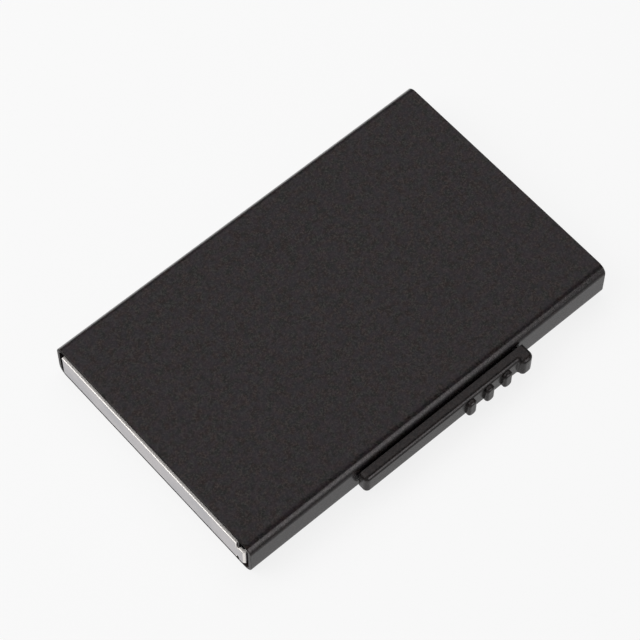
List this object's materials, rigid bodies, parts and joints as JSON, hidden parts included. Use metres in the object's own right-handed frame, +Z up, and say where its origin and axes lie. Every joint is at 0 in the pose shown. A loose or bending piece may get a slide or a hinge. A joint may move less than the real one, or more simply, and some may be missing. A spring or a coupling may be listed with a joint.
{
  "type": "card holder",
  "caption": "Slim pocket card holder: a flat black aluminium tube with a thumb slider on its side, whose bent sheet ejector fans the bank cards out of the open mouth.",
  "frame": {"origin": "the middle of the flat underside, on the surface that the holder lies on", "axes": "+X along the tube towards the card mouth, +Z up, and the thumb slider is on the -Y side"},
  "size_m": [0.0964, 0.0645, 0.0102],
  "materials": {
    "black_anodised_aluminium": "finely blasted and anodised black, satin with a soft sheen",
    "bare_sheet_steel": "stainless sheet, bare and finely brushed, with deburred edges",
    "black_moulded_plastic": "moulded black plastic with a satin spark-eroded skin",
    "black_nylon": "die-cut black nylon strip, smooth and matt",
    "zinc_plated_steel": "small machine screws, zinc plated",
    "black_foam": "closed-cell foam strip with a matt skin"
  },
  "bodies": {
    "tube": {"tube_body": "black_anodised_aluminium", "lower_grip_strip": "black_foam", "upper_grip_strip": "black_foam"},
    "slider": {"ejector": "bare_sheet_steel", "slider_bar": "black_moulded_plastic", "rail_glide": "black_nylon", "slider_screws": "zinc_plated_steel", "card_steps": "black_moulded_plastic"}
  },
  "joints": [
    {"name": "slider_travel", "type": "slide", "parent": "tube", "child": "slider", "axis": [1, 0, 0], "range_m": [0, 0.021]}
  ]
}
